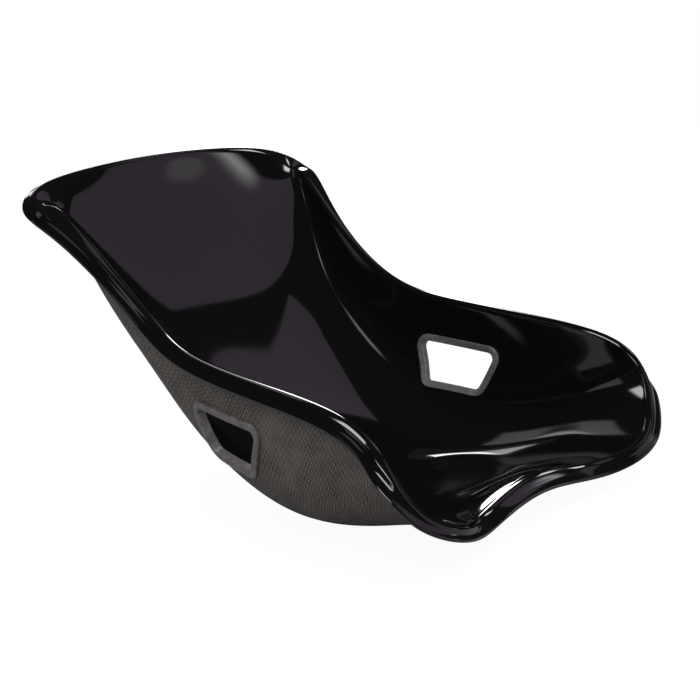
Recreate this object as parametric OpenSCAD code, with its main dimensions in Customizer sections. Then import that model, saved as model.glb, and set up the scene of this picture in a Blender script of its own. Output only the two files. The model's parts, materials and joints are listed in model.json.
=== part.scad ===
// Low-back composite bucket seat for kit cars, karts and track cars.
//
// A hand-laid shell in two layers: a gelcoated face moulding with a rolled lip, and a
// woven backing skin bonded behind it. Each side wall has a belt slot with a moulded
// bezel inside and another outside. Four threaded inserts are bonded under the pan.
//
// Frame, in mm: +X is the sitter's left, -Y is forward, +Z is up. The origin is the
// middle of the four inserts, on the plane of their lower ends.

// Piece to build, or all

/* [Overall size] */
// Width over the rolled lip at the shoulders
seat_width = 547; // [460:1:620]
// Length from the thigh lobes to the back of the top lip
seat_length = 728; // [650:1:850]
// Height from the underside of the pan to the top lip
seat_height = 495; // [440:1:600]

/* [Laminate] */
// Thickness of the gelcoated face moulding
face_thickness = 2.4; // [1.5:0.1:4]
// Thickness of the woven backing skin
backing_thickness = 1.8; // [1:0.1:4]

/* [Rolled lip] */
// How far the wall flares outward before it turns down
lip_land = 8.3; // [4:0.1:20]
// How much wider that flare is at the shoulder corners
shoulder_land = 23; // [0:0.5:40]
// How closely the wide flare keeps to the corners
shoulder_fade = 5.7; // [1:0.1:12]
// How far a wall that runs upward rises through that flare
lip_rise = 5.6; // [0:0.1:12]
// Outside radius of the turned edge
lip_radius = 4.5; // [3:0.1:10]
// Length of the flange below the turned edge
lip_flange = 19; // [8:0.5:30]
// Angle by which the flange stands off the wall
lip_splay = 25.5; // [0:0.5:40]

/* [Thigh relief] */
// Height of the rise between the legs at the front edge
hump_height = 33.5; // [0:0.5:50]
// Half width of that rise
hump_width = 105; // [40:1:150]
// How many stations back the rise fades out
hump_reach = 1.05; // [0.5:0.05:3]
// How far each thigh lobe stands forward, as a part of the half length
lobe_reach = 0.088; // [0:0.002:0.15]
// Where the lobe's middle lies, as a part of the half width
lobe_place = 0.53; // [0.4:0.01:0.8]
// How wide the lobe is towards the middle, as a part of the half width
lobe_inner = 0.15; // [0.1:0.01:0.4]
// How wide the lobe is towards the corner, as a part of the half width
lobe_outer = 0.19; // [0.1:0.01:0.4]
// Squareness of the two front corners of the outline
front_squareness = 4.7; // [2.5:0.1:8]
// Squareness of the two shoulder corners of the outline
shoulder_squareness = 4.7; // [2.5:0.1:8]

/* [Belt slots] */
// Length of the slot's upper edge, inside the bezel
slot_top = 128; // [80:1:160]
// Length of the slot's lower edge, inside the bezel
slot_bottom = 95; // [50:1:140]
// Height of the slot, inside the bezel
slot_height = 59; // [30:1:80]
// Corner radius of the slot, inside the bezel
slot_radius = 9; // [4:0.5:20]
// Forward tilt of the slot's upper edge
slot_tilt = 9; // [-20:0.5:30]
// Distance of the slot's middle behind the origin
slot_y = 99.5; // [60:0.5:160]
// Height of the slot's middle above the origin
slot_z = 133; // [90:1:170]
// Width of each bezel ring
bezel_width = 10.5; // [6:0.5:16]
// Height of each bezel above the wall
bezel_height = 4; // [2:0.5:8]
// Wall of the inner bezel's spigot, which passes through the slot
spigot_wall = 1.6; // [1:0.1:3]

/* [Base inserts] */
// Spacing of the inserts across the seat
insert_spacing_x = 150; // [80:1:220]
// Spacing of the inserts along the seat
insert_spacing_y = 90; // [50:1:140]
// Bore radius of the M8 thread, at its minor diameter
insert_bore_r = 3.4; // [2.5:0.1:5]
// Radius of the threaded collar
insert_collar_r = 6.5; // [5:0.1:9]
// Length of the collar below its disc
insert_collar_l = 10; // [6:0.5:16]
// Radius of the bonded disc
insert_disc_r = 19; // [12:0.5:25]
// Thickness of the bonded disc
insert_disc_t = 2; // [1:0.1:3]

/* [Hidden] */

bond_gap = 0.3;                       // adhesive line under an insert or outer bezel
bezel_gap = 0.7;                      // under an inner bezel, past the wall's facets
slot_clearance = 0.3;                 // between a spigot and the edge of its hole
saw_over = 3 * bezel_height;          // how far a slot's cut reaches past the wall
bezel_bevel = bezel_height / 4;       // small bevel at a bezel's opening
bezel_shoulder = bezel_width / 9;     // width of a bezel's sloping outer edge
bezel_foot = bezel_height / 5;        // upright foot of a bezel's outer edge
spigot_inset = bezel_height * 0.15;   // a spigot's end below the outer bezel's crown
push_fit = spigot_wall / 8;           // gap between a spigot and the outer bezel
cells_along = 34;                     // facets of the shell, front to top
cells_across = 30;                    // facets of the shell, side to side
bend_spread = 0.3;                    // how much closer they lie in the two bends
flare_steps = 3;
turn_steps = 3;

// Lofting stations from the front edge to the top edge, as control values of a cubic
// B-spline: y and z on the centre line, y and z on the rim, half width at the rim,
// half width of the floor, squareness of the section, and the lean of its up direction.
nominal_size = [547, 728, 495];
nominal_base = 16.2;
stations = [
    [-202,  26, -249, 147, 262, 210, 3.1, -4],   // front edge
    [-126,  21, -205, 180, 249, 228, 3.3,  1],   // thighs
    [ -37,   6, -120, 195, 241, 235, 3.7,  6],   // pan, front
    [  58,   6,   -8, 210, 235, 232, 3.8, 14],   // pan, rear
    [ 152,  41,   95, 227, 230, 223, 3.7, 20],   // seat bones
    [ 239,  94,  198, 248, 218, 205, 3.7, 30],   // hips
    [ 311, 170,  278, 310, 211, 202, 3.5, 41],   // waist
    [ 381, 261,  349, 383, 219, 215, 3.4, 51],   // lumbar
    [ 419, 388,  408, 454, 232, 229, 2.8, 52],   // shoulder blades
    [ 416, 497,  453, 465, 234, 230, 2.0, 47]];  // top edge

base_z = insert_collar_l + insert_disc_t;                 // underside of the pan
floor_z = base_z + backing_thickness + face_thickness;    // inside of the pan
floor_blend = 5;
shell_thickness = face_thickness + backing_thickness;
stretch = [seat_width / nominal_size[0], seat_length / nominal_size[1],
           seat_height / nominal_size[2]];
rows = [for (s = stations)
    [s[0] * stretch[1], floor_z + (s[1] - nominal_base) * stretch[2],
     s[2] * stretch[1], floor_z + (s[3] - nominal_base) * stretch[2],
     s[4] * stretch[0], s[5] * stretch[0], s[6], s[7]]];
last = len(rows) - 1;
knots = concat([2 * rows[0] - rows[1]], rows, [2 * rows[last] - rows[last - 1]]);

function unit(v) = v / norm(v);
function pow2(v) = v * v;
function clamp(v, low, high) = min(max(v, low), high);

// The station's values at u, which runs from 0 at the front edge to last at the top.
function station(u) =
    let (i = clamp(floor(u), 0, last - 1), f = u - i, g = 1 - f)
    (g * g * g * knots[i] + (3 * f * f * f - 6 * f * f + 4) * knots[i + 1]
     + (3 * f * f + 3 * f + 1 - 3 * f * f * f) * knots[i + 2] + f * f * f * knots[i + 3]) / 6;

// Flattens the pan below floor_z, with a soft edge.
function flatten(z) =
    let (d = z - floor_z)
    d < -floor_blend ? floor_z : d > floor_blend ? z
    : floor_z + pow2(d + floor_blend) / (4 * floor_blend);

// A point of the shell's inside face: u along the seat, t from -1 to 1 across it.
function face_point(u, t) =
    let (r = station(u), a = abs(t) * 90, n = r[6],
         c = max(cos(a), 1e-9), s = max(sin(a), 1e-9),
         l = pow(pow(c, n) + pow(s, n), 1 / n), g = 1 - c / l,
         x = sign(t) * (r[5] * s / l + (r[4] - r[5]) * g),
         h = hump_height * exp(-pow2(x / hump_width) - pow2(u / hump_reach)))
    [x, r[0] + (r[2] - r[0]) * g - h * sin(r[7]),
     flatten(r[1] + (r[3] - r[1]) * g + h * cos(r[7]))];

// The unit normal there, which points to the sitter.
function face_normal(u, t) =
    let (e = 2e-3, t1 = t >= 0 ? t : t + e, u1 = u >= last / 2 ? u : u + e)
    unit(cross(face_point(u, t1) - face_point(u, t1 - e),
               face_point(u1, t) - face_point(u1 - e, t)));

// Maps the square -1..1 to the shell's outline, with rounded corners and thigh lobes.
function outline(a, b) =
    let (r = max(abs(a), abs(b), 1e-9), m = a > 0 ? shoulder_squareness : front_squareness,
         k = pow(pow(max(abs(a) / r, 1e-6), m) + pow(max(abs(b) / r, 1e-6), m), -r * r / m),
         t = b * k, s = a * k, d = abs(t) - lobe_place,
         lobe = lobe_reach * exp(-pow2(d / (d > 0 ? lobe_outer : lobe_inner)))
                * pow(max(-s, 0), 3))
    [(s - lobe + 1) / 2 * last, t];

function spread(f) = f + bend_spread * sin(360 * f) / (2 * PI);
squares = [for (i = [0:cells_along], j = [0:cells_across])
    [2 * i / cells_along - 1, spread(2 * j / cells_across - 1)]];
grid = [for (s = squares) outline(s[0], s[1])];
grid_faces = [for (g = grid) face_point(g[0], g[1])];
grid_normals = [for (g = grid) face_normal(g[0], g[1])];
function at(i, j) = i * (cells_across + 1) + j;

// Grid indices round the rim, anticlockwise from above.
rim = concat([for (j = [0:cells_across - 1]) at(0, j)],
             [for (i = [0:cells_along - 1]) at(i, cells_across)],
             [for (j = [0:cells_across - 1]) at(cells_along, cells_across - j)],
             [for (i = [0:cells_along - 1]) at(cells_along - i, 0)]);
rim_count = len(rim);

// The width of the flare at rim point k, which grows at the two shoulder corners.
function land(k) =
    let (s = squares[rim[k]], c = min(max(s[0], 0), abs(s[1])))
    lip_land + shoulder_land * pow(c * (2 - c), shoulder_fade);

// The lip's section at each rim point, as [position, way towards the hidden side].
function lip_section(k) =
    let (p = grid_faces[rim[k]], n = grid_normals[rim[k]],
         along = unit(grid_faces[rim[(k + 1) % rim_count]]
                      - grid_faces[rim[(k + rim_count - 1) % rim_count]]),
         lean = station(grid[rim[k]][0])[7],
         lift = [0, -sin(lean), cos(lean)],
         up = unit(lift - (lift * along) * along),
         out = cross(along, up),
         wall = unit(cross(along, n)),
         flare = land(k), bow = 0.45 * flare,
         turn = p + flare * out + lip_rise * clamp(wall * up, 0, 1) * up,
         arc = 90 - lip_splay,
         path = concat(
             [for (i = [1:flare_steps])
                 let (f = i / flare_steps, g = 1 - f)
                 g * g * g * p + 3 * g * g * f * (p + bow * wall)
                 + 3 * g * f * f * (turn - bow * out) + f * f * f * turn],
             [for (i = [1:turn_steps])
                 let (a = arc * i / turn_steps)
                 turn + lip_radius * (sin(a) * out - (1 - cos(a)) * up)]),
         foot = path[len(path) - 1]
                + lip_flange * (sin(lip_splay) * out - cos(lip_splay) * up),
         full = concat([p], path, [foot]))
    [for (i = [1:len(full) - 1])
        let (next = full[min(i + 1, len(full) - 1)], d = unit(next - full[i - 1]))
        [full[i], unit(cross(along, d))]];

lip = [for (k = [0:rim_count - 1]) lip_section(k)];
lip_rings = len(lip[0]);

// Triangles of one face of the grid, and of the strip between two rings.
function sheet(first, down) =
    [for (i = [0:cells_along - 1], j = [0:cells_across - 1])
        let (q = [at(i, j), at(i + 1, j), at(i + 1, j + 1), at(i, j + 1)],
             s = (i < cells_along / 2) == (j < cells_across / 2) ? 0 : 1,
             pair = [[q[s], q[s + 1], q[s + 2]], [q[s], q[s + 2], q[(s + 3) % 4]]])
        for (f = pair)
            down ? [first + f[2], first + f[1], first + f[0]]
                 : [first + f[0], first + f[1], first + f[2]]];
function strip(inner, outer) =
    let (n = len(inner))
    [for (k = [0:n - 1]) let (m = (k + 1) % n)
        for (f = [[inner[k], inner[m], outer[m]], [inner[k], outer[m], outer[k]]]) f];
function ring(first, n) = [for (k = [0:n - 1]) first + k];

// The moulding with its lip: top sheet, lip out and back, then the hidden sheet.
module lipped_sheet(thickness) {
    size = len(grid);
    top_rings = [for (i = [0:lip_rings - 1]) [for (s = lip) s[i][0]]];
    low_rings = [for (i = [lip_rings - 1:-1:0]) [for (s = lip) s[i][0] + thickness * s[i][1]]];
    rings = concat(top_rings, low_rings);
    below = size + len(rings) * rim_count;
    points = concat(grid_faces, [for (r = rings) for (p = r) p],
                    [for (i = [0:size - 1]) grid_faces[i] - thickness * grid_normals[i]]);
    loops = concat([rim], [for (i = [0:len(rings) - 1]) ring(size + i * rim_count, rim_count)],
                   [[for (k = rim) below + k]]);
    polyhedron(points,
        concat(sheet(0, false), sheet(below, true),
               [for (i = [0:len(loops) - 2]) for (f = strip(loops[i], loops[i + 1])) f]),
        convexity = 12);
}

// A plain sheet between two depths behind the inside face.
module plain_sheet(near, far) {
    size = len(grid);
    polyhedron(
        concat([for (i = [0:size - 1]) grid_faces[i] - near * grid_normals[i]],
               [for (i = [0:size - 1]) grid_faces[i] - far * grid_normals[i]]),
        concat(sheet(0, false), sheet(size, true), strip(rim, [for (k = rim) size + k])),
        convexity = 12);
}

// The side wall seen from the side: its x at a given y and z, by bisection on u.
function wall_side(u, y, z) =
    let (r = station(u)) (r[2] - r[0]) * (z - r[1]) - (r[3] - r[1]) * (y - r[0]);
function wall_u(y, z, low, high, steps) =
    let (mid = (low + high) / 2)
    steps == 0 ? mid
    : wall_side(mid, y, z) < 0 ? wall_u(y, z, mid, high, steps - 1)
    : wall_u(y, z, low, mid, steps - 1);
function wall_point(y, z) =
    let (r = station(wall_u(y, z, 1.5, 6.5, 16)), d = [r[2] - r[0], r[3] - r[1]],
         g = ([y - r[0], z - r[1]] * d) / (d * d),
         c = 1 - clamp(g, 0, 1))
    [r[5] * pow(1 - pow(c, r[6]), 1 / r[6]) + (r[4] - r[5]) * g, y, z];
function wall_normal(y, z) =
    let (e = 2, a = wall_point(y + e, z) - wall_point(y - e, z),
         b = wall_point(y, z + e) - wall_point(y, z - e))
    unit(cross(b, a));

// The slot's outline grown by d, in side view: four arcs joined by straight edges.
corner_steps = 5;
edge_steps = 4;
slot_middle = [slot_y * stretch[1], floor_z + (slot_z - nominal_base) * stretch[2]];
function slot_corner(i) =
    let (half = (i == 0 || i == 3 ? slot_top : slot_bottom) / 2 - slot_radius,
         side = i < 2 ? 1 : -1,
         v = [side * half, (i == 0 || i == 3 ? 1 : -1) * (slot_height / 2 - slot_radius)])
    slot_middle + [v[0] * cos(slot_tilt) - v[1] * sin(slot_tilt),
                   v[0] * sin(slot_tilt) + v[1] * cos(slot_tilt)];
function slot_path(d) =
    let (arcs = [for (i = [0:3])
            let (c = slot_corner(i), p = slot_corner((i + 3) % 4), n = slot_corner((i + 1) % 4),
                 a0 = atan2(c[1] - p[1], c[0] - p[0]) + 90,
                 a1 = atan2(n[1] - c[1], n[0] - c[0]) + 90,
                 sweep = a1 - a0 - 360 * ceil((a1 - a0) / 360))
            [for (k = [0:corner_steps])
                let (a = a0 + sweep * k / corner_steps)
                c + (slot_radius + d) * [cos(a), sin(a)]]])
    [for (i = [0:3])
        let (arc = arcs[i], to = arcs[(i + 1) % 4][0], from = arc[corner_steps])
        for (p = concat(arc, [for (k = [1:edge_steps - 1]) from + (to - from) * k / edge_steps])) p];

slot_normals = [for (p = slot_path(bezel_width / 2)) wall_normal(p[0], p[1])];
slot_count = len(slot_normals);

// One ring of points: d outside the slot's edge, h towards the sitter from the wall.
function slot_ring(d, h) =
    let (path = slot_path(d))
    [for (k = [0:slot_count - 1])
        wall_point(path[k][0], path[k][1]) + h * slot_normals[k]];

// The plug that opens a slot through both layers of the left wall.
module slot_plug() {
    d = spigot_wall + slot_clearance;
    depth = shell_thickness + saw_over;
    inner = slot_ring(d, saw_over);
    outer = slot_ring(d, -depth);
    middle = wall_point(slot_middle[0], slot_middle[1]);
    axis = wall_normal(slot_middle[0], slot_middle[1]);
    n = slot_count;
    polyhedron(
        concat(inner, outer, [middle + saw_over * axis, middle - depth * axis]),
        concat(strip(ring(0, n), ring(n, n)),
               [for (k = [0:n - 1]) [2 * n, (k + 1) % n, k]],
               [for (k = [0:n - 1]) [2 * n + 1, n + k, n + (k + 1) % n]]),
        convexity = 4);
}

module slot_plugs() {
    slot_plug();
    mirror([1, 0, 0]) slot_plug();
}

// A closed section of [d, h] pairs swept round the slot of the left wall.
module slot_sweep(section) {
    m = len(section);
    n = slot_count;
    polyhedron(
        [for (s = section) for (p = slot_ring(s[0], s[1])) p],
        [for (i = [0:m - 1]) for (f = strip(ring(i * n, n), ring((i + 1) % m * n, n))) f],
        convexity = 6);
}

// Gelcoated inside face with the rolled lip, in one moulding.
module face_moulding() {
    color("#0c0c0d") difference() {
        lipped_sheet(face_thickness);
        slot_plugs();
    }
}

// Woven laminate bonded behind the face, up to the lip.
module backing_skin() {
    color("#4b4844") difference() {
        plain_sheet(face_thickness, shell_thickness);
        slot_plugs();
    }
}

// Inner bezel: a domed ring on the inside face, with a spigot through the slot.
module inner_bezel() {
    through = shell_thickness + bezel_height - spigot_inset;
    color("#4a4747") slot_sweep([
        [0, -through], [0, bezel_height - bezel_bevel], [bezel_bevel, bezel_height],
        [bezel_width * 0.55, bezel_height],
        [bezel_width - bezel_shoulder, bezel_height * 0.75],
        [bezel_width, bezel_gap + bezel_foot], [bezel_width, bezel_gap],
        [spigot_wall, bezel_gap], [spigot_wall, -through]]);
}

// Outer bezel: a domed ring on the backing skin, pushed over the spigot.
module outer_bezel() {
    seat = -shell_thickness - bond_gap;
    crown = -shell_thickness - bezel_height;
    inside = spigot_wall + push_fit;
    color("#4a4747") slot_sweep([
        [inside, crown + bezel_bevel], [inside + bezel_bevel, crown],
        [bezel_width * 0.55, crown],
        [bezel_width - bezel_shoulder, crown + bezel_height * 0.25],
        [bezel_width, seat - bezel_foot], [bezel_width, seat], [inside, seat]]);
}

module left_inner_bezel() {
    inner_bezel();
}

module left_outer_bezel() {
    outer_bezel();
}

module right_inner_bezel() {
    mirror([1, 0, 0]) inner_bezel();
}

module right_outer_bezel() {
    mirror([1, 0, 0]) outer_bezel();
}

// M8 insert: a perforated steel disc bonded under the pan, with a threaded collar.
module insert(side, end) {
    hole_ring = (insert_collar_r + insert_disc_r) / 2;
    hole_r = (insert_disc_r - insert_collar_r) * 0.2;
    color("#8d8f92")
        translate([side * insert_spacing_x / 2, end * insert_spacing_y / 2, 0])
            difference() {
                union() {
                    cylinder(h = base_z - bond_gap, r = insert_collar_r, $fn = 48);
                    translate([0, 0, base_z - bond_gap - insert_disc_t])
                        cylinder(h = insert_disc_t, r = insert_disc_r, $fn = 64);
                }
                translate([0, 0, -1])
                    cylinder(h = base_z + 2, r = insert_bore_r, $fn = 36);
                for (k = [0:7])
                    rotate(k * 45 + 22.5)
                        translate([hole_ring, 0, base_z - bond_gap - insert_disc_t - 1])
                            cylinder(h = insert_disc_t + 2, r = hole_r, $fn = 20);
            }
}

module front_left_insert() {
    insert(1, -1);
}

module front_right_insert() {
    insert(-1, -1);
}

module rear_left_insert() {
    insert(1, 1);
}

module rear_right_insert() {
    insert(-1, 1);
}

face_moulding();
backing_skin();
left_inner_bezel();
left_outer_bezel();
right_inner_bezel();
right_outer_bezel();
front_left_insert();
front_right_insert();
rear_left_insert();
rear_right_insert();
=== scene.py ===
# Low-back composite bucket seat for kit cars, karts and track cars.
import json
import math
import bpy
import bmesh
from mathutils import Matrix, Vector

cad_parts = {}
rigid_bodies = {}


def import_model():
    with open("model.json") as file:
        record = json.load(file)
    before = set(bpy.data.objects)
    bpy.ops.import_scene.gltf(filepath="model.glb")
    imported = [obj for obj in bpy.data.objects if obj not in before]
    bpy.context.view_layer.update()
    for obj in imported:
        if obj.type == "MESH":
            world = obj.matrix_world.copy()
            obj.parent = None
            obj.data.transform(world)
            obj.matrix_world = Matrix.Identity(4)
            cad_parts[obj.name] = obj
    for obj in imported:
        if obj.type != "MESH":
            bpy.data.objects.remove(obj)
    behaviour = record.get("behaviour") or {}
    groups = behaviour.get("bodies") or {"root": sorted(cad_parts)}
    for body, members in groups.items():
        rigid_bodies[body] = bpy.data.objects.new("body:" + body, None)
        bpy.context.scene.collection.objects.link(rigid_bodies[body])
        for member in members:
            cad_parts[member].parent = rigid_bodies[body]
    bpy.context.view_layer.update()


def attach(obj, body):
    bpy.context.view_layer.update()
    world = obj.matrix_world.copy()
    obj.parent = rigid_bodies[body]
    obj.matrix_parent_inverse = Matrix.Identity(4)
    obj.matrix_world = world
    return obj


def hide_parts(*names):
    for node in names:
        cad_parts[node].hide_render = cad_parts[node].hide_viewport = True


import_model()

# Camera: a three-quarter view from in front of the sitter's right side, a little above
# the lip, on a 36 mm sensor. The seat fills the square picture.
eye = Vector((-1.1290, -1.1133, 0.4891))
sideways = Vector((0.7108, -0.6927, -0.1221)).normalized()
upward = Vector((0.2057, 0.0386, 0.9779))
upward = (upward - upward.dot(sideways) * sideways).normalized()
camera = bpy.data.objects.new("camera", bpy.data.cameras.new("camera"))
camera.data.sensor_width = 36
camera.data.lens = 61.71
camera.matrix_world = Matrix.Translation(eye) @ Matrix(
    (sideways, upward, sideways.cross(upward))).transposed().to_4x4()
bpy.context.scene.collection.objects.link(camera)
bpy.context.scene.camera = camera


# Face moulding: the gloss black inside of the seat and its rolled lip, one hand-laid
# glass laminate 2.4 mm thick. Black gelcoat goes into the polished female mould first,
# so the face copies the mould's shine and its slight waviness; the lip is its edge,
# turned down round the mould's rim and trimmed.
mm = 0.001
# Cross sections from the front lip to the top: y and z on the centre line, y and z on
# the rim, half widths of rim and floor, squareness, and lean from upright in degrees.
stations = [
    (-202, 26, -249, 147, 262, 210, 3.1, -4),
    (-126, 21, -205, 180, 249, 228, 3.3, 1),
    (-37, 6, -120, 195, 241, 235, 3.7, 6),
    (58, 6, -8, 210, 235, 232, 3.8, 14),
    (152, 41, 95, 227, 230, 223, 3.7, 20),
    (239, 94, 198, 248, 218, 205, 3.7, 30),
    (311, 170, 278, 310, 211, 202, 3.5, 41),
    (381, 261, 349, 383, 219, 215, 3.4, 51),
    (419, 388, 408, 454, 232, 229, 2.8, 52),
    (416, 497, 453, 465, 234, 230, 2.0, 47)]
last = len(stations) - 1
knots = ([[2 * a - b for a, b in zip(stations[0], stations[1])]] + stations
         + [[2 * a - b for a, b in zip(stations[-1], stations[-2])]])
pan_floor, pan_blend = 16.2, 5
face_thickness, skin_thickness = 2.4, 1.8
lip_land, lip_rise, lip_radius, lip_flange, lip_splay = 8.3, 5.6, 4.5, 19, 25.5
shoulder_land, shoulder_fade = 23, 5.7
front_round, round_gain, round_delay = 5, 2.2, 0.3
flare_pull, flange_hollow = 0.45, 0.1
flare_steps, turn_steps, flange_steps = 8, 8, 4
hump_height, hump_width, hump_reach = 33.5, 105, 1.05
lobe_reach, lobe_place, lobe_inner, lobe_outer = 0.088, 0.53, 0.15, 0.19
front_squareness = shoulder_squareness = 4.7
face_cells, crease_crowding, normal_step = (190, 150), 0.3, 2e-3


def station(u):
    """The cross section at u, a smooth B-spline between the stations."""
    i = min(max(math.floor(u), 0), last - 1)
    f = u - i
    w = ((1 - f) ** 3 / 6, (3 * f ** 3 - 6 * f * f + 4) / 6,
         (3 * f + 3 * f * f - 3 * f ** 3 + 1) / 6, f ** 3 / 6)
    return [sum(w[k] * knots[i + k][c] for k in range(4)) for c in range(8)]


def face_point(u, t):
    """A point of the face in mm: t runs from rim to rim, -1 to 1, as a squarish U."""
    cy, cz, ry, rz, rim, floor, n, lean = station(u)
    c = max(math.cos(abs(t) * math.pi / 2), 1e-9)
    s = max(math.sin(abs(t) * math.pi / 2), 1e-9)
    reach = (c ** n + s ** n) ** (1 / n)
    g = 1 - c / reach
    x = math.copysign(floor * s / reach + (rim - floor) * g, t)
    h = hump_height * math.exp(-(x / hump_width) ** 2 - (u / hump_reach) ** 2)
    z = cz + (rz - cz) * g + h * math.cos(math.radians(lean))
    over = z - pan_floor
    if abs(over) < pan_blend:
        z = pan_floor + (over + pan_blend) ** 2 / (4 * pan_blend)
    elif over < 0:
        z = pan_floor
    return Vector((x, cy + (ry - cy) * g - h * math.sin(math.radians(lean)), z))


def face_normal(u, t):
    e = normal_step
    t1 = t if t >= 0 else t + e
    u1 = u if u >= last / 2 else u + e
    return (face_point(u, t1) - face_point(u, t1 - e)).cross(
        face_point(u1, t) - face_point(u1 - e, t)).normalized()


def outline(a, b):
    """Turns a place in a square grid into u and t, with rounded corners and lobes."""
    r = max(abs(a), abs(b), 1e-9)
    m = shoulder_squareness if a > 0 else front_squareness
    k = (max(abs(a) / r, 1e-6) ** m + max(abs(b) / r, 1e-6) ** m) ** (-r * r / m)
    s, d = a * k, abs(b * k) - lobe_place
    lobe = lobe_reach * math.exp(-(d / (lobe_outer if d > 0 else lobe_inner)) ** 2)
    return (s - lobe * max(-s, 0) ** 3 + 1) / 2 * last, b * k


def shell_sheet(along, across, depth):
    """The shell's surface as a grid, depth mm behind the face. Keeps u, t, a and b."""
    bm = bmesh.new()
    bmesh.ops.create_grid(bm, x_segments=across, y_segments=along, size=1)
    place = {}
    for v in bm.verts:
        a, x = v.co.y, v.co.x
        b = x + crease_crowding * math.sin(2 * math.pi * x) / (2 * math.pi)
        u, t = outline(a, b)
        place[v] = (u, t, a, b)
        v.co = (face_point(u, t) - depth * face_normal(u, t)) * mm
    return bm, place


def lip_frames(bm, place):
    """For each rim vertex: its point, the ways out, up and down the wall, its land and
    how much rounder than elsewhere the fold is there."""
    frames = {}
    for v in [v for v in bm.verts if v.is_boundary]:
        p, q = [e.other_vert(v) for e in v.link_edges if e.is_boundary]
        u, t, a, b = place[v]
        if b * (place[q][2] - place[p][2]) < a * (place[q][3] - place[p][3]):
            p, q = q, p
        along = (q.co - p.co).normalized()
        lean = math.radians(station(u)[7])
        lift = Vector((0, -math.sin(lean), math.cos(lean)))
        up = (lift - lift.dot(along) * along).normalized()
        c = min(max(a, 0), abs(b))
        f = min(max(-round_gain * a - round_delay, 0), 1)
        frames[v] = (v.co / mm, along.cross(up), up,
                     along.cross(face_normal(u, t)).normalized(),
                     lip_land + shoulder_land * (c * (2 - c)) ** shoulder_fade,
                     front_round * f * f * (3 - 2 * f))
    return frames


def lip_path(rim_frame):
    """The lip's section at one rim point: flare, fold, then a slightly hollow flange."""
    p, out, up, wall, land, rounder = rim_frame
    splay, radius = math.radians(lip_splay), lip_radius + rounder
    land -= rounder * math.cos(splay)
    flange = lip_flange - rounder * (1 - math.sin(splay)) / math.cos(splay)
    turn = p + land * out + lip_rise * min(max(wall.dot(up), 0), 1) * up
    path = []
    for i in range(1, flare_steps + 1):
        f = i / flare_steps
        g = 1 - f
        path.append(g ** 3 * p + 3 * g * g * f * (p + land * flare_pull * wall)
                    + 3 * g * f * f * (turn - land * flare_pull * out) + f ** 3 * turn)
    for i in range(1, turn_steps + 1):
        a = math.radians(90 - lip_splay) * i / turn_steps
        path.append(turn + radius * (math.sin(a) * out - (1 - math.cos(a)) * up))
    fold_end = path[-1]
    for i in range(1, flange_steps + 1):
        f = i / flange_steps
        curl = flange_hollow * math.sin(math.pi * f)
        path.append(fold_end + f * flange * (math.sin(splay) * out - math.cos(splay) * up)
                    - curl * flange * (math.cos(splay) * out + math.sin(splay) * up))
    return path


# The easing comes in over the front and fades towards the side walls; the last rows,
# next to the trimmed edge, get up to three times as many passes.
ease_passes, ease_most, front_gain = 40, 3, 1.5
side_start, side_gain, side_least = 2.9, 4, 0.08


def eased(paths, place):
    """Rounds the lip's fold and flange along the front corners, more towards the edge."""
    ring = [next(iter(paths))]
    while True:
        ahead = [v for e in ring[-1].link_edges if e.is_boundary
                 for v in e.verts if v not in ring[-2:]]
        if not ahead or ahead[0] is ring[0]:
            break
        ring.append(ahead[0])
    for step in range(len(paths[ring[0]])):
        hold = [min(max(-front_gain * place[v][2], 0), 1) * min(step / flare_steps, 1)
                * min(max(side_start - side_gain * abs(place[v][3]), side_least), 1)
                for v in ring]
        row = [paths[v][step] for v in ring]
        late = step - (flare_steps + turn_steps - 2)
        for _ in range(ease_passes * min(max(late, 1), ease_most)):
            row = [p + h * ((row[i - 1] + row[(i + 1) % len(row)]) / 2 - p) / 2
                   for i, (p, h) in enumerate(zip(row, hold))]
        for v, p in zip(ring, row):
            paths[v][step] = p
    return paths


def piece_from(bm, name):
    bmesh.ops.recalc_face_normals(bm, faces=bm.faces)
    mesh = bpy.data.meshes.new(name)
    bm.to_mesh(mesh)
    bm.free()
    for p in mesh.polygons:
        p.use_smooth = True
    obj = bpy.data.objects.new(name, mesh)
    bpy.context.scene.collection.objects.link(obj)
    return obj


def faced_up(obj):
    """Turns an open sheet's faces upwards, towards the sitter."""
    if obj.data.polygons[len(obj.data.polygons) // 2].normal.z < 0:
        obj.data.flip_normals()


def thickened(obj, thickness):
    """Gives an open sheet its wall, on the side away from the sitter."""
    wall = obj.modifiers.new("wall", "SOLIDIFY")
    wall.thickness = thickness * mm
    wall.offset = -1


def baked(obj):
    """Turns an object's modifiers into mesh."""
    mesh = bpy.data.meshes.new_from_object(
        obj.evaluated_get(bpy.context.evaluated_depsgraph_get()))
    obj.modifiers.clear()
    obj.data = mesh
    mesh.name = obj.name


def linear(code):
    """An sRGB hex colour as linear red, green, blue and a full alpha."""
    parts = [int(code[i:i + 2], 16) / 255 for i in (1, 3, 5)]
    return [c / 12.92 if c <= 0.04045 else ((c + 0.055) / 1.055) ** 2.4
            for c in parts] + [1]


def node(tree, kind, settings=(), inputs=(), **sockets):
    """Adds a node with its settings. An input gets a value, or a link to an output."""
    made = tree.nodes.new("ShaderNode" + kind)
    for key, value in dict(settings).items():
        setattr(made, key, value)
    sockets = {key.replace("_", " "): value for key, value in sockets.items()}
    for key, value in {**dict(inputs), **sockets}.items():
        if isinstance(value, bpy.types.NodeSocket):
            tree.links.new(value, made.inputs[key])
        else:
            made.inputs[key].default_value = value
    return made


def material(name, **sockets):
    made = bpy.data.materials.new(name)
    made.use_nodes = True
    tree = made.node_tree
    tree.nodes.clear()
    shader = node(tree, "BsdfPrincipled", **sockets)
    node(tree, "OutputMaterial", Surface=shader.outputs[0])
    return made, tree, shader


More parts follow.
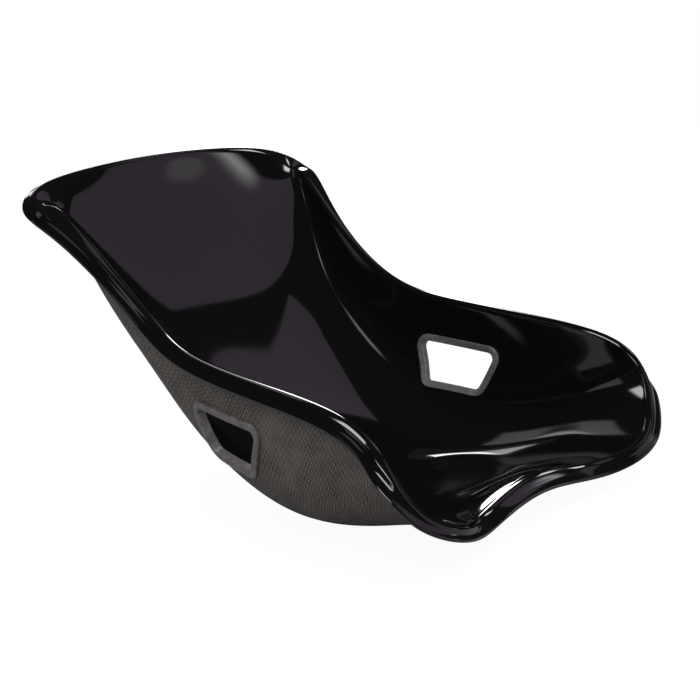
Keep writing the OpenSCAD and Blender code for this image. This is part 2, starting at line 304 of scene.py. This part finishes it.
# Black polyester gelcoat from a polished mould, waxed: a deep, faintly warm black that
# shows little but sharp reflections, bent a little by the mould's slow waviness and by
# the pull of the cloth behind it, and hazed in patches by handling.
gelcoat, tree, shader = material("gelcoat", Base_Color=linear("#0c0c0d"))
where = node(tree, "TexCoord").outputs["Object"]
haze = node(tree, "TexNoise", Vector=where, Scale=9, Detail=5, Roughness=0.6)
rough = node(tree, "MapRange", Value=haze.outputs["Fac"], From_Min=0.3, From_Max=0.8,
             To_Min=0.045, To_Max=0.085)
tree.links.new(rough.outputs[0], shader.inputs["Roughness"])
wave = node(tree, "TexNoise", Vector=where, Scale=16, Detail=1)
ripple = node(tree, "Bump", Height=wave.outputs["Fac"], Strength=1, Distance=0.00012)
tree.links.new(ripple.outputs[0], shader.inputs["Normal"])

sheet, place = shell_sheet(*face_cells, 0)
frames = lip_frames(sheet, place)
paths = eased({v: lip_path(f) for v, f in frames.items()}, place)
edge = [e for e in sheet.edges if e.is_boundary]
rim = {v: v for v in paths}
for step in range(flare_steps + turn_steps + flange_steps):
    grown = bmesh.ops.extrude_edge_only(sheet, edges=edge)["geom"]
    edge = [g for g in grown if isinstance(g, bmesh.types.BMEdge) and g.is_boundary]
    fresh = {}
    for e in {e for g in grown if isinstance(g, bmesh.types.BMVert)
              for e in g.link_edges}:
        for new, old in (e.verts, reversed(e.verts)):
            if old in rim and new not in rim and not e.is_boundary:
                fresh[new] = rim[old]
    for new, start in fresh.items():
        new.co = paths[start][step] * mm
    rim = fresh
face = piece_from(sheet, "gelcoat_face")
faced_up(face)
thickened(face, face_thickness)
face.data.materials.append(gelcoat)

# Belt slots: one through each side wall, sawn after the two layers are bonded.
slot_top, slot_bottom, slot_height, slot_radius = 128, 95, 59, 9
slot_tilt, slot_y, slot_z = math.radians(9), 99.5, 133
bezel_width, bezel_height, spigot_wall = 10.5, 4, 1.6
bezel_gap, bond_gap, slot_clearance, saw_reach = 0.7, 0.3, 0.3, 12
shell_thickness = face_thickness + skin_thickness
slot_steps = (12, 14)


def wall_point(y, z):
    """The face of the left wall at y and z: halves the run between two stations."""
    low, high = 1.5, 6.5
    for _ in range(22):
        mid = (low + high) / 2
        r = station(mid)
        if (r[2] - r[0]) * (z - r[1]) - (r[3] - r[1]) * (y - r[0]) < 0:
            low = mid
        else:
            high = mid
    d = (r[2] - r[0], r[3] - r[1])
    g = ((y - r[0]) * d[0] + (z - r[1]) * d[1]) / (d[0] ** 2 + d[1] ** 2)
    c = 1 - min(max(g, 0), 1)
    return Vector((r[5] * (1 - c ** r[6]) ** (1 / r[6]) + (r[4] - r[5]) * g, y, z))


def wall_normal(y, z, step=2):
    return (wall_point(y, z + step) - wall_point(y, z - step)).cross(
        wall_point(y + step, z) - wall_point(y - step, z)).normalized()


def slot_path(d, corner_steps, edge_steps):
    """The slot's tilted outline as y and z, d mm outside its edge."""
    points, arcs, corners = [], [], []
    for i in range(4):
        half = (slot_top if i in (0, 3) else slot_bottom) / 2 - slot_radius
        v = ((1 if i < 2 else -1) * half,
             (1 if i in (0, 3) else -1) * (slot_height / 2 - slot_radius))
        corners.append((slot_y + v[0] * math.cos(slot_tilt) - v[1] * math.sin(slot_tilt),
                        slot_z + v[0] * math.sin(slot_tilt) + v[1] * math.cos(slot_tilt)))
    for i in range(4):
        c, p, n = corners[i], corners[i - 1], corners[(i + 1) % 4]
        a0 = math.atan2(c[1] - p[1], c[0] - p[0]) + math.pi / 2
        a1 = math.atan2(n[1] - c[1], n[0] - c[0]) + math.pi / 2
        sweep = a1 - a0 - 2 * math.pi * math.ceil((a1 - a0) / (2 * math.pi))
        arcs.append([(c[0] + (slot_radius + d) * math.cos(a0 + sweep * k / corner_steps),
                      c[1] + (slot_radius + d) * math.sin(a0 + sweep * k / corner_steps))
                     for k in range(corner_steps + 1)])
    for i in range(4):
        arc, to = arcs[i], arcs[(i + 1) % 4][0]
        points += arc + [tuple(a + (b - a) * k / edge_steps for a, b in zip(arc[-1], to))
                         for k in range(1, edge_steps)]
    return points


slot_normals = [wall_normal(*p) for p in slot_path(bezel_width / 2, *slot_steps)]


def slot_ring(d, h, side):
    """The slot's outline d mm outside its edge and h mm off the face."""
    ring = [wall_point(*p) + h * n
            for p, n in zip(slot_path(d, *slot_steps), slot_normals)]
    return [Vector((side * p.x, p.y, p.z)) * mm for p in ring]


def swept_loop(bm, rings):
    """Extrudes a ring of edges from one set of points to the next."""
    circle = bmesh.ops.create_circle(bm, segments=len(rings[0]), radius=1)["verts"]
    for v, p in zip(circle, rings[0]):
        v.co = p
    loop = circle
    first = edges = list(bm.edges)
    for ring in rings[1:]:
        grown = bmesh.ops.extrude_edge_only(bm, edges=edges)["geom"]
        edges = [g for g in grown if isinstance(g, bmesh.types.BMEdge) and g.is_boundary]
        new = {g for g in grown if isinstance(g, bmesh.types.BMVert)}
        loop = [next(e.other_vert(v) for e in v.link_edges if e.other_vert(v) in new)
                for v in loop]
        for v, p in zip(loop, ring):
            v.co = p
    return first, edges


def slot_cutter(side):
    bm = bmesh.new()
    d = spigot_wall + slot_clearance
    for ends in swept_loop(bm, [slot_ring(d, saw_reach, side),
                                slot_ring(d, -shell_thickness - saw_reach, side)]):
        bmesh.ops.contextual_create(bm, geom=ends)
    bmesh.ops.triangulate(bm, faces=[f for f in bm.faces if len(f.verts) > 4])
    return piece_from(bm, "slot_cutter")


def saw_slots(obj):
    for side in (1, -1):
        cutter = slot_cutter(side)
        cut = obj.modifiers.new("slot", "BOOLEAN")
        cut.object, cut.solver = cutter, "EXACT"
        baked(obj)
        bpy.data.objects.remove(cutter)


saw_slots(face)
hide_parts("face_moulding")
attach(face, "root")

# Backing skin: woven glass cloth in dark resin, 1.8 mm thick, laid by hand over the
# back of the face moulding and bonded to it up to the lip. It is left matt, with the
# cloth's tows standing through the resin.
skin_cells = (120, 96)
# The cloth's lay: the rim line that its length runs along, its slant, and how far from
# the middle the slant is rounded off.
lay_line, lay_steps, girth_steps, lay_slant, lay_rounding = 0.8, 180, 12, 0.3, 0.06
tow_pitch, strand_scale, stray_reach = 0.0039, (1900, 420, 1), 0.006


# Woven glass wetted out with dark resin: the tows that run down the walls stand proud,
# so that the cloth reads as fine ribs 4 mm apart, broken by the tows that cross them.
# The eye gets a matt grey-brown, darker and a little shinier where the resin pools.
woven, tree, shader = material("woven_laminate", Specular_IOR_Level=0.35)
cloth = node(tree, "UVMap", {"uv_map": "cloth"}).outputs[0]
stray = node(tree, "TexNoise", Vector=cloth, Scale=9, Detail=1)
laid = node(tree, "VectorMath", {"operation": "MULTIPLY_ADD"},
            {0: stray.outputs["Color"], 1: (stray_reach, stray_reach, 0), 2: cloth})
tows = node(tree, "VectorMath", {"operation": "SCALE"}, {0: laid.outputs[0]},
            Scale=math.pi / tow_pitch)
axes = node(tree, "SeparateXYZ", Vector=tows.outputs[0])
rows = [node(tree, "Math", {"operation": "SINE"}, {0: axes.outputs[axis]}).outputs[0]
        for axis in "XY"]
over = node(tree, "Math", {"operation": "MULTIPLY"}, dict(enumerate(rows)))
rib = node(tree, "Math", {"operation": "ABSOLUTE"}, {0: rows[0]})
strands = node(tree, "VectorMath", {"operation": "MULTIPLY"},
               {0: laid.outputs[0], 1: strand_scale})
strand = node(tree, "TexNoise", Vector=strands.outputs[0], Scale=1, Detail=3)
height = node(tree, "Math", {"operation": "MULTIPLY_ADD"},
              {0: over.outputs[0], 1: 0.3, 2: rib.outputs[0]})
height = node(tree, "Math", {"operation": "MULTIPLY_ADD"},
              {0: strand.outputs["Fac"], 1: 0.5, 2: height.outputs[0]})
pools = node(tree, "TexNoise", Vector=cloth, Scale=22, Detail=4, Roughness=0.65)
tone = node(tree, "Math", {"operation": "MULTIPLY_ADD"},
            {0: pools.outputs["Fac"], 1: 1.3, 2: height.outputs[0]})
shade = node(tree, "MapRange", Value=tone.outputs[0], From_Min=1, From_Max=2.05)
colour = node(tree, "Mix", {"data_type": "RGBA"},
              {0: shade.outputs[0], 6: linear("#1c1918"), 7: linear("#635d59")})
tree.links.new(colour.outputs[2], shader.inputs["Base Color"])
rough = node(tree, "MapRange", Value=tone.outputs[0], From_Min=0.5, From_Max=2.1,
             To_Min=0.5, To_Max=0.75)
tree.links.new(rough.outputs[0], shader.inputs["Roughness"])
relief = node(tree, "Bump", Height=height.outputs[0], Strength=0.8, Distance=0.0005)
tree.links.new(relief.outputs[0], shader.inputs["Normal"])


def lengths(points):
    """How far along a row of points each one is, in metres."""
    far = [0]
    for p, q in zip(points, points[1:]):
        far.append(far[-1] + (q - p).length * mm)
    return far


skin, place = shell_sheet(*skin_cells, face_thickness)
run = lengths([face_point(last * i / lay_steps, lay_line) for i in range(lay_steps + 1)])
lay = skin.loops.layers.uv.new("cloth")
cut = {}
for v, (u, t, a, b) in place.items():
    girth = lengths([face_point(u, t * k / girth_steps)
                     for k in range(girth_steps + 1)])[-1]
    cut[v] = (run[min(max(round(u / last * lay_steps), 0), lay_steps)]
              + lay_slant * math.hypot(girth, lay_rounding), math.copysign(girth, t))
for f in skin.faces:
    for loop in f.loops:
        loop[lay].uv = cut[loop.vert]
backing = piece_from(skin, "woven_backing")
faced_up(backing)
thickened(backing, skin_thickness)
backing.data.materials.append(woven)
saw_slots(backing)
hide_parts("backing_skin")
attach(backing, "root")

# Belt-slot bezels: a satin grey moulded ring each side of each slot. The inner one has
# a spigot through the slot; the outer one is pushed over it and bonded.
push_fit, spigot_short, round_steps = 0.2, 0.6, 6
outer_edge, inner_edge, spigot_edge, seat_edge, push_edge = 3.4, 1.6, 0.4, 0.2, 0.8

# Moulded plastic with a fine spark-eroded grain: satin, so the rounded edges carry a
# broad soft highlight, with paler scuffs where belts and hands rub. Both greys are
# painted lighter as painted sheen, standing in for reflections that the dark surroundings
# don't give.
plastic, tree, shader = material("bezel_plastic")
where = node(tree, "TexCoord").outputs["Object"]
scuff = node(tree, "TexNoise", Vector=where, Scale=90, Detail=6, Roughness=0.7)
worn = node(tree, "MapRange", Value=scuff.outputs["Fac"], From_Min=0.45, From_Max=0.75)
# Painted sheen: both greys are lifted above the plastic's own colour; the noise between
# them marks the paler scuffs.
colour = node(tree, "Mix", {"data_type": "RGBA"},
              {0: worn.outputs[0], 6: linear("#4e4a4a"), 7: linear("#75706e")})
tree.links.new(colour.outputs[2], shader.inputs["Base Color"])
rough = node(tree, "MapRange", Value=scuff.outputs["Fac"], From_Min=0.3, From_Max=0.7,
             To_Min=0.34, To_Max=0.52)
tree.links.new(rough.outputs[0], shader.inputs["Roughness"])
grain = node(tree, "TexNoise", Vector=where, Scale=2200, Detail=2)
relief = node(tree, "Bump", Height=grain.outputs["Fac"], Strength=0.35, Distance=0.00006)
tree.links.new(relief.outputs[0], shader.inputs["Normal"])


def bezel(name, section, side):
    bm = bmesh.new()
    ends = swept_loop(bm, [slot_ring(d, h, side) for d, h in section])
    bmesh.ops.bridge_loops(bm, edges=[e for end in ends for e in end])
    made = piece_from(bm, name)
    made.data.materials.append(plastic)
    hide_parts(name.replace("ring", "bezel"))
    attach(made, "root")


def rounded(corners):
    """A closed [d, h] section with each (d, h, radius) corner turned by an arc."""
    points = []
    for i, (d, h, r) in enumerate(corners):
        here = Vector((d, h))
        back = Vector(corners[i - 1][:2]) - here
        ahead = Vector(corners[(i + 1) % len(corners)][:2]) - here
        if not r:
            points.append((d, h))
            continue
        angle = back.angle(ahead)
        run = min(r / math.tan(angle / 2), back.length / 2, ahead.length / 2)
        a, b = here + run * back.normalized(), here + run * ahead.normalized()
        for k in range(round_steps + 1):
            f = k / round_steps
            points.append(tuple((1 - f) ** 2 * a + 2 * f * (1 - f) * here + f * f * b))
    return points


through = shell_thickness + bezel_height - spigot_short
seat = -shell_thickness - bond_gap
crown = -shell_thickness - bezel_height
inner_section = rounded([
    (0, -through, spigot_edge), (0, bezel_height, inner_edge),
    (bezel_width, bezel_height, outer_edge), (bezel_width, bezel_gap, seat_edge),
    (spigot_wall, bezel_gap, 0), (spigot_wall, -through, spigot_edge)])
outer_section = rounded([
    (spigot_wall + push_fit, crown, push_edge), (bezel_width, crown, outer_edge),
    (bezel_width, seat, seat_edge), (spigot_wall + push_fit, seat, 0)])
for hand, side in (("left", 1), ("right", -1)):
    bezel(hand + "_inner_ring", inner_section, side)
    bezel(hand + "_outer_ring", outer_section, side)

# Base inserts: four zinc-plated steel M8 inserts, each a perforated disc bonded under
# the pan with a threaded collar below it.
# Bright zinc plate over turned steel: a cool grey metal with fine turning lines and
# cloudy, slightly duller patches in the plate.
steel, tree, shader = material("plated_steel", Metallic=1)
where = node(tree, "TexCoord").outputs["Object"]
cloud = node(tree, "TexNoise", Vector=where, Scale=70, Detail=5, Roughness=0.6)
colour = node(tree, "Mix", {"data_type": "RGBA"},
              {0: cloud.outputs["Fac"], 6: linear("#7f8183"), 7: linear("#9c9ea2")})
tree.links.new(colour.outputs[2], shader.inputs["Base Color"])
rough = node(tree, "MapRange", Value=cloud.outputs["Fac"], From_Min=0.3, From_Max=0.7,
             To_Min=0.26, To_Max=0.44)
tree.links.new(rough.outputs[0], shader.inputs["Roughness"])
turned = node(tree, "VectorMath", {"operation": "MULTIPLY"},
              {0: where, 1: (150, 150, 6000)})
lines = node(tree, "TexNoise", Vector=turned.outputs[0], Scale=1, Detail=2)
relief = node(tree, "Bump", Height=lines.outputs["Fac"], Strength=0.3, Distance=0.00004)
tree.links.new(relief.outputs[0], shader.inputs["Normal"])
for name in ("front_left_insert", "front_right_insert", "rear_left_insert",
             "rear_right_insert"):
    for obj in bpy.data.objects:
        if obj.type == "MESH" and obj.name.split(".")[0] == name:
            for slot in obj.material_slots:
                slot.material = steel

# Studio: a plain white floor that runs into a white backdrop, lit evenly from above. The
# black gelcoat shows little but its reflections, so the soft boxes that it mirrors stand
# apart from the even light, against dark surroundings.
floor_reach, paper_glow, paper_share = 14, 1.11, 0.86

# Matt white paper: it shows as plain white, darker only where the seat shades it.
paper, tree, shader = material("paper", Base_Color=linear("#b8b8b8"), Roughness=0.9,
                               Specular_IOR_Level=0.2)
seen = node(tree, "Math", {"operation": "MULTIPLY"},
            {0: node(tree, "LightPath").outputs["Is Camera Ray"], 1: paper_share})
lift = node(tree, "Emission", Strength=paper_glow)
lifted = node(tree, "MixShader", inputs={0: seen.outputs[0], 1: shader.outputs[0],
                                         2: lift.outputs[0]})
tree.links.new(lifted.outputs[0], tree.nodes["Material Output"].inputs["Surface"])
bm = bmesh.new()
bmesh.ops.create_grid(bm, x_segments=1, y_segments=1, size=floor_reach)
floor = piece_from(bm, "floor")
floor.data.materials.append(paper)
faced_up(floor)


def lamp(name, kind, place, target, **settings):
    light = bpy.data.lights.new(name, kind)
    for key, value in settings.items():
        setattr(light, key, value)
    obj = bpy.data.objects.new(name, light)
    way = Vector(target) - Vector(place)
    obj.matrix_world = (Matrix.Translation(place)
                        @ way.to_track_quat("-Z", "Y").to_matrix().to_4x4())
    bpy.context.scene.collection.objects.link(obj)
    return obj


def soft_box(name, bearing, height, wide, tall, glow, fade=0.03, tint="#ffffff",
             middle=Vector((0, 0.1, 0.25)), reach=5):
    """A glowing box seen only in reflections: its bearing, height and spread in degrees,
    its glow, and the share of it that its soft edge takes up."""
    a, e = math.radians(bearing), math.radians(height)
    way = Vector((math.sin(a) * math.cos(e), math.cos(a) * math.cos(e), math.sin(e)))
    size = [2 * reach * math.tan(math.radians(d / 2)) for d in (wide, tall)]
    box = lamp(name, "AREA", middle + reach * way, middle, shape="RECTANGLE",
               size=size[0], size_y=size[1], energy=glow * math.pi * size[0] * size[1])
    box.visible_diffuse = box.visible_camera = False
    box.data.use_nodes = True
    tree = box.data.node_tree
    tree.nodes.clear()
    sheet = node(tree, "SeparateXYZ",
                 Vector=node(tree, "NewGeometry").outputs["Parametric"])
    edges = []
    for side in "XY":
        off = node(tree, "Math", {"operation": "PINGPONG"},
                   {0: sheet.outputs[side], 1: 0.5})
        edges.append(node(tree, "MapRange", {"interpolation_type": "SMOOTHSTEP"},
                          Value=off.outputs[0], From_Max=fade).outputs[0])
    even = node(tree, "Math", {"operation": "MULTIPLY"}, dict(enumerate(edges)))
    light = node(tree, "Emission", Strength=even.outputs[0], Color=linear(tint))
    node(tree, "OutputLight", inputs={0: light.outputs[0]})


# The suns give the matt light only, and leave the reflections to the boxes.
for name, place, energy in (("key", (-2, -2, 3), 1.7), ("fill", (2, -1, 3), 0.9)):
    sun = lamp(name, "SUN", place, (0, 0, 0), energy=energy, angle=math.radians(70))
    sun.visible_glossy = False
soft_box("front box", 145.5, 13, 31, 46, 0.5, tint="#fbe6ff")
soft_box("low glow", 130, 6, 13, 11, 3.5, 0.5)
soft_box("high box", 119, 56, 36, 20, 0.5, tint="#fbe6ff")
soft_box("side strip", -97, 40, 8, 7, 3, 0.4)
soft_box("side box", -60, 12, 16, 9, 0.8, 0.1)
soft_box("near lamp", -58, 54, 40, 34, 10, 0.15,
         middle=Vector((-0.27, -0.2, 0.17)), reach=0.5)
soft_box("corner lamp", -122, 15.5, 56, 10, 9, 0.1)
soft_box("far lamp", 102, 32, 22, 10, 8, 0.2)
soft_box("rear box", 5, 50, 30, 14, 0.9, 0.2)
soft_box("backdrop glow", 30, 32, 46, 30, 3, 0.12)
soft_box("edge glow", 47, 31, 18, 28, 12, 0.15)

# The world is plain white to the camera, even and half bright on matt surfaces, and
# nearly dark in reflections.
matt_level, mirror_level = 0.45, 0.02
world = bpy.data.worlds.new("studio")
world.use_nodes = True
tree = world.node_tree
tree.nodes.clear()
path = node(tree, "LightPath").outputs
level = node(tree, "MapRange", Value=path["Is Glossy Ray"], To_Min=matt_level,
             To_Max=mirror_level)
level = node(tree, "MapRange", Value=path["Is Camera Ray"], To_Min=level.outputs[0],
             To_Max=1)
sky = node(tree, "Background", Strength=level.outputs[0], Color=(1, 1, 1, 1))
node(tree, "OutputWorld", Surface=sky.outputs[0])
bpy.context.scene.world = world
bpy.context.scene.view_settings.view_transform = "Standard"
